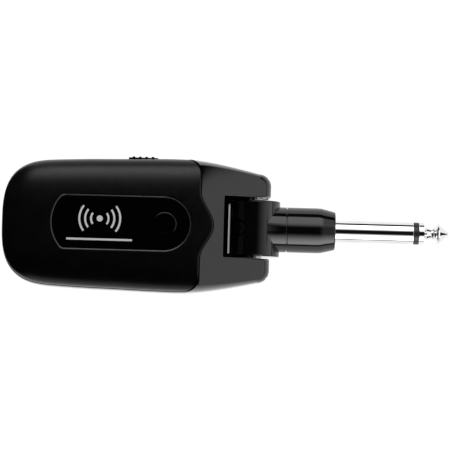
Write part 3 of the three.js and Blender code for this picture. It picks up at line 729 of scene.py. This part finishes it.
def round_cutter(x, y, radius, low, high, segments=48):
    return prism(arc((x, y), (radius, radius), 0, 360 * (1 - 1 / segments), segments - 1), low, high)


def rounded_box(x0, x1, y0, y1, radius, low, high):
    """A cutter whose plan is a rectangle with rounded corners."""
    loop = arc((x1 - radius, y0 + radius), (radius, radius), -90, 0, 5)
    loop += arc((x1 - radius, y1 - radius), (radius, radius), 0, 90, 5)
    loop += arc((x0 + radius, y1 - radius), (radius, radius), 90, 180, 5)
    loop += arc((x0 + radius, y0 + radius), (radius, radius), 180, 270, 5)
    return prism(loop, low, high)


def groove_cutters():
    shaft, grip = GROOVE["shaft"], GROOVE["grip"]
    return [
        rounded_box(GROOVE["tip"], GROOVE["grip_from"] + 2, -shaft, shaft, 1.5, -5, GROOVE["shaft_top"]),
        rounded_box(GROOVE["grip_from"], SLOT_START + 3, -grip, grip, 1, -5, GROOVE["grip_top"]),
    ]


def build_housing():
    skin = housing_skin()
    boolean(skin, prism(mirrored(cover_half(COVER_GAP)), LEDGE - 0.1, HEIGHT + 5))
    boolean(skin, rounded_box(3.6, 52.4, -15.3, 15.3, 6, 0, 30))
    for cutter in groove_cutters():
        boolean(skin, cutter)
    hinge_x = (HINGE.x - START) / MM
    for side in (-1, 1):
        near, far = sorted((side * 8, side * 13.9))
        boolean(skin, box_cutter((hinge_x - 4, near, 0), (hinge_x + 3.8, far, PARTING + 3.9)))
    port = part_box("usb_port")
    mouth = [(y, z) for y, z in stadium((port[0].z + port[1].z) / 2 / MM, 4.8, 1.9, 1.8)]
    boolean(skin, along_x(mouth, -3, 4.5))
    knob_x, knob_z = middle(KNOB_LOW, KNOB_HIGH)
    wall = flank(knob_x)
    # The knob's shallow recess, and the slit behind it that its neck slides in.
    for long, high, deep, out in ((6.3, 1.8, 0.75, 3), (3.6, 0.9, 6, 0)):
        low = (knob_x - long, wall - deep, knob_z - high)
        boolean(skin, box_cutter(low, (knob_x + long, wall + out, knob_z + high)))
    return finish(skin, "gloss_black", "housing", "upper_housing")


def middle(low, high):
    """The middle of a frame box in body millimetres, as x and z."""
    return ((low.x + high.x) / 2 - START) / MM, (low.z + high.z) / 2 / MM


def stadium(height, half, high, radius):
    """A loop in the YZ plane: a rectangle with round corners, centred on y 0 and on height."""
    corners = [(half - radius, radius - high, -90), (half - radius, high - radius, 0)]
    corners += [(radius - half, high - radius, 90), (radius - half, radius - high, 180)]
    loop = []
    for y, z, start in corners:
        loop += arc((y, z + height), (radius, radius), start, start + 90, 6)
    return loop


def along_x(loop, low, high):
    """A cutter along X over a loop of (y, z) points."""
    count = len(loop)
    points = [(low, y, z) for y, z in loop] + [(high, y, z) for y, z in loop]
    faces = [(i, (i + 1) % count, (i + 1) % count + count, i + count) for i in range(count)]
    faces += [tuple(range(count)), tuple(range(count, 2 * count))]
    return piece("cutter", mesh_from("cutter", points, faces))


def build_back():
    skin = back_skin()
    boolean(skin, rounded_box(4.6, 60, -14.3, 14.3, 8, 1.8, 20))
    wall = 1.2
    tip, grip_from = GROOVE["tip"], GROOVE["grip_from"]
    shaft, shaft_top = GROOVE["shaft"] + wall, GROOVE["shaft_top"] + wall
    grip, grip_top = GROOVE["grip"] + wall, GROOVE["grip_top"] + wall
    boolean(skin, box_cutter((tip - wall, -shaft, 1), (grip_from + 1, shaft, shaft_top)), "UNION")
    boolean(skin, box_cutter((grip_from - wall, -grip, 1), (SLOT_START - 1.7, grip, grip_top)), "UNION")
    for cutter in groove_cutters():
        boolean(skin, cutter)
    for x, y in HOUSING_SCREWS:
        boolean(skin, round_cutter(x, y, 2.25, -2, 3.3))
        boolean(skin, round_cutter(x, y, 1.2, -2, 12, 24))
    hinge_x = (HINGE.x - START) / MM
    for side in (-1, 1):
        near, far = sorted((side * 8, side * 13.9))
        boolean(skin, box_cutter((hinge_x - 4, near, PARTING - 3.9), (hinge_x + 3.8, far, 20)))
    return finish(skin, "gloss_black", "housing", "back_shell")


def build_cover():
    skin = cover_skin()
    # The hollow is in two tiers, because the dome is low at the corners of its rounded end.
    boolean(skin, rounded_box(3.6, 52.6, -14.2, 14.2, 8, 10, 19))
    boolean(skin, rounded_box(8, 52.6, -12, 12, 6, 10, 21.2))
    boolean(skin, round_cutter(BUTTON_X, 0, BUTTON_RADIUS + 0.2, 10, 30, 72))
    return finish(skin, "matte_black", "housing", "top_cover")


def build_panel():
    skin = panel_skin()
    boolean(skin, round_cutter(BUTTON_X, 0, BUTTON_RADIUS + 0.12, 10, 30, 96))
    return finish(skin, "panel_black", "housing", "label_panel")


def build_panel_rim():
    """The edge between the panel and the cover, coloured grey as a painted highlight that shows as a fine
    outline.
    """
    section = [(0.02, -0.5), (0.02, 0), (0.22, 0.08), (0.22, -0.5)]  # outwards, and above the panel
    rings = []
    for grow, rise in section:
        rings.append([(x, y, PANEL_TOP + rise) for x, y in mirrored(panel_half(grow))])
    rings.append(rings[0])
    made = piece("panel_rim", mesh_from("panel_rim", *swept(rings)))
    # The grey material paints the rim's highlight.
    return finish(made, "rim_painted_highlight", "housing")


def build_button():
    """A dished round cap with an eased rim, on its flange and stem."""
    low, top = BUTTON_LOW.z / MM, BUTTON_HIGH.z / MM
    radius = BUTTON_RADIUS
    stem, flange = 1.2, 4.2
    profile = [(low, 0), (low, stem), (low + 1.1, stem), (low + 1.1, flange), (low + 1.8, flange)]
    profile += [(low + 1.8, radius), (top - 0.3, radius), (top - 0.2, radius - 0.02)]
    profile += [(top - 0.09, radius - 0.09), (top - 0.02, radius - 0.2), (top, radius - 0.34)]
    profile += [(top - 0.04, radius - 0.6), (top - 0.1, radius * 0.6), (top - 0.13, 0)]
    made = lathe("button_cap", profile, "Z", (BUTTON_X, 0, 0))
    return finish(made, "panel_black", "button", "channel_button")


def build_switch():
    """A thumb piece with four rounded ribs on its face."""
    knob_x, knob_z = middle(KNOB_LOW, KNOB_HIGH)
    face = KNOB_HIGH.y / MM - 0.3
    half, high = 4.05, 1.5
    pitch, rib_half, tall = 1.76, 0.42, 0.3
    plan = [(knob_x - half, face - 0.8), (knob_x + half, face - 0.8), (knob_x + half, face)]
    steps = 96
    for i in range(1, steps):
        x = half - 2 * half * i / steps
        nearest = abs((x / pitch - 0.5) - round(x / pitch - 0.5)) * pitch
        on_rib = abs(x) < 1.5 * pitch + 0.6 and nearest < rib_half
        rise = tall * max(0, 1 - (nearest / rib_half) ** 2) ** 0.5 if on_rib else 0
        plan.append((knob_x + x, face + rise))
    plan.append((knob_x - half, face))
    made = prism(plan, knob_z - high, knob_z + high, "switch_thumb")
    neck_half, neck_high = 1.2, 0.6
    low = (knob_x - neck_half, face - 2.2, knob_z - neck_high)
    boolean(made, box_cutter(low, (knob_x + neck_half, face - 0.5, knob_z + neck_high)), "UNION")
    return finish(made, "matte_black", "switch", "switch_knob")


# ---------- the folding plug's pieces ----------

HINGE_X = (HINGE.x - START) / MM
SHOULDER = (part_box("plug_sleeve")[1].x - START) / MM
BARREL, BARREL_HALF = 7.2, 7.75
COLLAR, COLLAR_END = 6.3, 9
AXLE_BORE = 2.35
SCREW_TILT = -38  # the lock screw's lean from upright, in degrees
PLUG_AXIS = (0, 0, PARTING)


def rod(low, high, radius):
    """The lathe profile of a plain cylinder."""
    return [(low, 0), (low, radius), (high, radius), (high, 0)]


def build_knuckle():
    edge, bore = 0.45, 3.7
    hinge = (HINGE_X, 0, PARTING)
    profile = rounded(rod(-BARREL_HALF, BARREL_HALF, BARREL), [0, edge, edge, 0], 7)
    drum = lathe("knuckle_skin", profile, "Y", hinge, 160)
    profile = [(0.5, 0), (0.5, COLLAR), (COLLAR_END, COLLAR), (COLLAR_END, bore), (3.4, bore), (3.4, 0)]
    collar = lathe("collar", rounded(profile, [0, 0, 0.15, 0, 0, 0], 4), "X", hinge, 120)
    boolean(drum, collar, "UNION")
    boolean(drum, lathe("cutter", rod(-12, 12, AXLE_BORE), "Y", hinge, 48))
    for radius, low, high in [(2.4, BARREL - 1.2, BARREL + 3), (1.1, 3, BARREL)]:
        seat = lathe("cutter", rod(low, high, radius), "Z", (0, 0, 0), 64)
        boolean(drum, tilt(seat))
    return finish(drum, "gloss_black", "plug", "knuckle")


def tilt(made):
    """Moves a piece built round the Z axis onto the barrel, leaning back from the crown."""
    to_origin = Matrix.Translation(-in_frame((0, 0, 0)))
    lean = Matrix.Rotation(math.radians(SCREW_TILT), 4, "Y")
    made.data.transform(Matrix.Translation(HINGE) @ lean @ to_origin)
    return made


def screw(name, head, head_high, shank, length):
    """A cross-recessed screw along Z with its head's top at the origin, in its own millimetres."""
    profile = [(-length, 0), (-length, shank * 0.5), (shank - length, shank), (-head_high, shank)]
    profile += [(-head_high, head), (-0.3, head), (-0.08, head - 0.1), (0, head - 0.35), (0, 0)]
    made = lathe(name, profile, "Z", (0, 0, 0), 48)
    reach, deep = head * 0.55, head_high * 0.55
    boolean(made, box_cutter((-reach, -0.25, -deep), (reach, 0.25, 1)))
    boolean(made, box_cutter((-0.25, -reach, -deep), (0.25, reach, 1)))
    return made


def build_lock_screw():
    made = screw("lock_screw", 2, 0.9, 0.85, 3.6)
    made.data.transform(Matrix.Translation((0, 0, (BARREL - 0.25) * MM)))
    return finish(tilt(made), "gloss_black", "plug", "knuckle_screw")


def build_housing_screws():
    for number, (x, y) in enumerate(HOUSING_SCREWS, 1):
        node = f"housing_screw_{number}"
        made = screw(f"back_screw_{number}", 1.9, 1.2, 0.85, 11.4)
        to_origin = Matrix.Translation(-in_frame((0, 0, 0)))
        over = Matrix.Rotation(math.pi, 4, "X")
        spot = Matrix.Translation(in_frame((x, y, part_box(node)[0].z / MM)))
        made.data.transform(spot @ over @ to_origin)
        finish(made, "steel", "housing", node)


def build_grip():
    low, high = (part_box("grip_sleeve")[i].x for i in (0, 1))
    start, end = (low - START) / MM, (high - START) / MM
    radius, nose, taper = 6.3, 5.3, end - 4.1
    lip, lip_start, bore = radius - 0.35, start - 0.18, 3.7
    profile = [(lip_start, bore), (lip_start, lip), (start, lip), (start, radius), (taper, radius)]
    profile += [(end, nose), (end, 3.6), (lip_start, bore)]
    made = lathe("grip_skin", rounded(profile, [0, 0, 0, 0.15, 0.9, 0.35, 0, 0], 6), "X", PLUG_AXIS, 160)
    return finish(made, "gloss_black", "plug", "grip_sleeve")


def build_plug():
    grip_end = (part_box("grip_sleeve")[1].x - START) / MM
    start = (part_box("plug_sleeve")[0].x - START) / MM
    shaft, wide, bore = 3.175, 3.3, 1.9
    tail, step, neck = start + 1.4, grip_end - 2, 2.9
    profile = [(start, bore), (start, neck), (tail, neck), (tail, wide), (step, wide)]
    profile += [(step, shaft), (SHOULDER, shaft), (SHOULDER, bore), (start, bore)]
    made = lathe("plug_shaft", rounded(profile, [0, 0, 0, 0, 0, 0, 0.1, 0, 0], 3), "X", PLUG_AXIS, 128)
    finish(made, "chrome", "plug", "plug_sleeve")

    ring = [(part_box("insulator_ring")[i].x - START) / MM for i in (0, 1)]
    profile = [(ring[0], 1.25), (ring[0], 3.1), (ring[1], 3.1), (ring[1], 1.25), (ring[0], 1.25)]
    made = lathe("plug_ring", rounded(profile, [0, 0.15, 0.15, 0, 0], 3), "X", PLUG_AXIS, 128)
    finish(made, "insulator_black", "plug", "insulator_ring")

    tip_from, end = ((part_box("plug_tip")[i].x - START) / MM for i in (0, 1))
    land = ring[1] + 0.05
    # Distance from the tip's end, and radius: the waist, its small bead, the ball and the cone.
    waist = [(-7.1, shaft), (-6.95, 3.02), (-6.5, 2.3), (-6.3, 2.0), (-5.6, 1.72), (-4.9, 1.42)]
    bead = [(-4.75, 1.45), (-4.62, 1.72), (-4.4, 1.8), (-4.2, 1.75)]
    ball = [(-4.1, 1.8), (-3.85, 2.2), (-3.6, 2.6), (-3.35, 2.86), (-3.1, 2.97), (-2.9, 2.93)]
    cone = [(-2.65, 2.72), (-0.75, 0.98), (-0.45, 0.72), (-0.2, 0.46), (-0.05, 0.2)]
    edge = 0.08
    profile = [(tip_from, 0), (tip_from, 1), (land, 1), (land, shaft - edge), (land + edge, shaft)]
    profile += [(end + along, radius) for along, radius in waist + bead + ball + cone] + [(end, 0)]
    made = lathe("plug_point", profile, "X", PLUG_AXIS, 128)
    finish(made, "chrome", "plug", "plug_tip")


# ---------- print ----------


INK = (PANEL_TOP + 0.002, PANEL_TOP + 0.02)  # from and to, a hair above the panel's face


def print_strip(name, centre, radius, start, end, width):
    """A printed arc on the panel's face, as a thin raised layer of ink."""
    outer = arc(centre, (radius + width / 2,) * 2, start, end, 28)
    inner = arc(centre, (radius - width / 2,) * 2, end, start, 28)
    made = prism(outer + inner, *INK, name)
    return finish(made, "print_white", "housing")


def build_print():
    """A plain pictogram of a sender: a dot with waves to both sides, over a level line."""
    x, y = 27.5, 1.0
    stroke = 0.55
    dot = prism(arc((x, y), (0.85, 0.85), 0, 350, 35), *INK, "print_dot")
    finish(dot, "print_white", "housing")
    for number, radius in enumerate((2.4, 4.0, 5.6)):
        print_strip(f"print_wave_far_{number}", (x, y), radius, -38, 38, stroke)
        print_strip(f"print_wave_near_{number}", (x, y), radius, 142, 218, stroke)
    half, low, high = 9, -5.0, -4.45
    bar = prism([(x - half, low), (x + half, low), (x + half, high), (x - half, high)], *INK, "print_bar")
    finish(bar, "print_white", "housing")


def dress_kept_nodes():
    """Every CAD node that stays gets the material of its slot."""
    for part in frame["record"]["subparts"]:
        node = frame["nodes"][part["node"]]
        node.data.materials.clear()
        node.data.materials.append(MATERIALS[part["material_slot"]])


# ---------- studio ----------


def soft_panel(name, toward, span, across, distance, radiance, soft, centre=0.0, only=None):
    """A rectangular light with soft edges, aimed at the object.

    toward is "X" or "Y", the way that the light leans. span is where it begins and ends, in degrees
    from overhead, and across its width in metres about centre. soft is the share of the light that
    each edge fades over: first, last and both sides. only names the pieces that it lights, if not all.
    """
    lean = math.radians(sum(span) / 2)
    half = distance * math.tan(math.radians(abs(span[1] - span[0]) / 2))
    direction = Vector((math.sin(lean), 0, math.cos(lean)))
    outward = Vector((math.cos(lean), 0, -math.sin(lean)))
    side = Vector((0, 1, 0))
    if toward == "Y":
        direction, outward, side = (Vector((v.y, v.x, v.z)) for v in (direction, outward, side))
    if span[1] < span[0]:
        outward = -outward
    data = bpy.data.lights.new(name, "AREA")
    data.shape = "RECTANGLE"
    data.size, data.size_y = across, 2 * half
    data.energy = radiance * math.pi * across * 2 * half
    fade_edges(data, soft)
    light = bpy.data.objects.new(name, data)
    across_axis = direction.cross(outward) * -1
    basis = Matrix((across_axis, outward, direction)).transposed().to_4x4()
    place = Vector((0, 0, 0.01)) + direction * distance + side * centre
    light.matrix_world = Matrix.Translation(place) @ basis
    bpy.context.scene.collection.objects.link(light)
    if only:
        light.light_linking.receiver_collection = only
    return light


def fade_edges(data, soft):
    """Fades a rectangular light from its first edge, towards its last edge and to both sides."""
    data.use_nodes = True
    tree = data.node_tree
    emission = tree.nodes["Emission"]
    place = tree.nodes.new("ShaderNodeNewGeometry")
    parts = tree.nodes.new("ShaderNodeSeparateXYZ")
    tree.links.new(place.outputs["Parametric"], parts.inputs[0])
    first, last, sides = soft
    ramps = [("Y", 0, first), ("Y", 1, 1 - last), ("X", 0, sides), ("X", 1, 1 - sides)]
    total = None
    for axis, dark, bright in ramps:
        ramp = tree.nodes.new("ShaderNodeMapRange")
        ramp.interpolation_type = "SMOOTHSTEP"
        ramp.inputs["From Min"].default_value = min(dark, bright)
        ramp.inputs["From Max"].default_value = max(dark, bright)
        ramp.inputs["To Min"].default_value = 0 if dark < bright else 1
        ramp.inputs["To Max"].default_value = 1 if dark < bright else 0
        tree.links.new(parts.outputs[axis], ramp.inputs["Value"])
        if total is None:
            total = ramp.outputs[0]
            continue
        product = tree.nodes.new("ShaderNodeMath")
        product.operation = "MULTIPLY"
        tree.links.new(total, product.inputs[0])
        tree.links.new(ramp.outputs[0], product.inputs[1])
        total = product.outputs[0]
    tree.links.new(total, emission.inputs["Strength"])


def stage_sheet(name, corners, paper):
    mesh = bpy.data.meshes.new(name)
    mesh.from_pydata(corners, [], [(0, 1, 2, 3)])
    mesh.materials.append(paper)
    sheet = piece(name, mesh)
    return sheet


def flat_corners(x0, x1, half, z):
    """The corners of a level rectangle from x0 to x1, and to half either way across."""
    return [(x0, -half, z), (x1, -half, z), (x1, half, z), (x0, half, z)]


def build_studio():
    scene = bpy.context.scene
    scene.view_settings.view_transform = "Standard"
    world = bpy.data.worlds.new("studio")
    world.use_nodes = True
    world.node_tree.nodes["Background"].inputs["Color"].default_value = (0.006, 0.006, 0.006, 1)
    scene.world = world

    paper, _, shader = material("paper", (0.8, 0.8, 0.8), 0.9)
    shader.inputs["Specular IOR Level"].default_value = 0
    shader.inputs["Emission Color"].default_value = (1, 1, 1, 1)
    shader.inputs["Emission Strength"].default_value = 1.04
    half = 1.5
    stage_sheet("floor", flat_corners(-half, half, half, -0.00005), paper)

    # The body's own shadow, seen through the gaps round the plug's barrel. One strip of it is left
    # out of reflections, so the barrel's edge still shows the pale floor.
    black, _, shader = material("black_card", (0.001, 0.001, 0.001), 1)
    shader.inputs["Specular IOR Level"].default_value = 0
    ends = [START + x for x in (0.014, 0.052, 0.0605, 0.0695)]
    for name, x0, x1 in zip(("shadow_nose", "shadow_strip", "shadow_fork"), ends, ends[1:]):
        shadow = stage_sheet(name, flat_corners(x0, x1, 0.0095, -0.00003), black)
        shadow.visible_glossy = name != "shadow_strip"
        shadow.visible_diffuse = False

    # A black flag beyond the rounded end keeps reflections there dark.
    x = START - 0.005
    leaning = [(x, -0.05, 0), (x, 0.05, 0), (x - 0.15, 0.2, 0.3), (x - 0.15, -0.2, 0.3)]
    flag = stage_sheet("flag", leaning, black)
    flag.visible_camera = False
    flag.visible_diffuse = False
    flag.visible_shadow = False

    far, cover, deck = linked("far_pieces"), linked("cover_pieces"), linked("deck_pieces")
    near = linked("near_pieces")
    soft_panel("far_light", "Y", (11, 71), 0.9, 0.6, 2.4, (0.46, 0.1, 0.3), 0, far)
    soft_panel("cover_light", "Y", (31, 84), 0.9, 0.6, 5.6, (0.45, 0.3, 0.3), 0, cover)
    soft_panel("strip_light", "Y", (46, 84), 1.2, 0.6, 2.6, (0.3, 0.1, 0.2), 0, deck)
    soft_panel("near_light", "Y", (-17, -83), 0.4, 0.5, 4.7, (0.8, 0.14, 0.12), 0.16, near)
    soft_panel("end_light", "X", (10, 88), 0.8, 0.5, 1.6, (0.9, 0.05, 0.2), 0, far)
    soft_panel("cover_end_light", "X", (16, 88), 0.8, 0.5, 2, (0.9, 0.05, 0.2), 0, cover)
    soft_panel("deck_light", "X", (8, 89), 0.67, 0.5, 1.3, (0.05, 0.1, 0.1), -0.115, deck)


def linked(name):
    """The collection of pieces that one light is meant for."""
    return bpy.data.collections.get(name) or bpy.data.collections.new(name)


def build_camera():
    """Nearly straight down, from a little on the -Y side, with the object turned slightly."""
    elevation, roll = math.radians(87), math.radians(1.6)
    distance, seen = 0.8, 0.1254
    target = Vector((-0.00031, 0.00091, PARTING * MM))
    data = bpy.data.cameras.new("camera")
    data.sensor_width = 36
    data.lens = data.sensor_width * distance / seen
    camera = bpy.data.objects.new("camera", data)
    camera.location = target + distance * Vector((0, -math.cos(elevation), math.sin(elevation)))
    turn = Matrix.Rotation(math.pi / 2 - elevation, 4, "X") @ Matrix.Rotation(roll, 4, "Z")
    camera.rotation_euler = turn.to_euler()
    bpy.context.scene.collection.objects.link(camera)
    bpy.context.scene.camera = camera


def light_pieces():
    """Says which pieces each light falls on. The near one misses the cover, the button and the print."""
    own = {"housing_skin": "deck_pieces", "back_skin": "deck_pieces", "cover_skin": "cover_pieces"}
    for made in bpy.data.objects:
        if made.type != "MESH" or made.name in ("floor", "flag") or made.name.startswith("shadow"):
            continue
        if made.name not in ("cover_skin", "button_cap") and not made.name.startswith("print"):
            linked("near_pieces").objects.link(made)
        linked(own.get(made.name, "far_pieces")).objects.link(made)


build_camera()
build_studio()
dress_kept_nodes()
build_housing()
build_back()
build_cover()
build_panel()
build_panel_rim()
build_button()
build_switch()
build_print()
build_knuckle()
build_lock_screw()
build_housing_screws()
build_grip()
build_plug()
light_pieces()
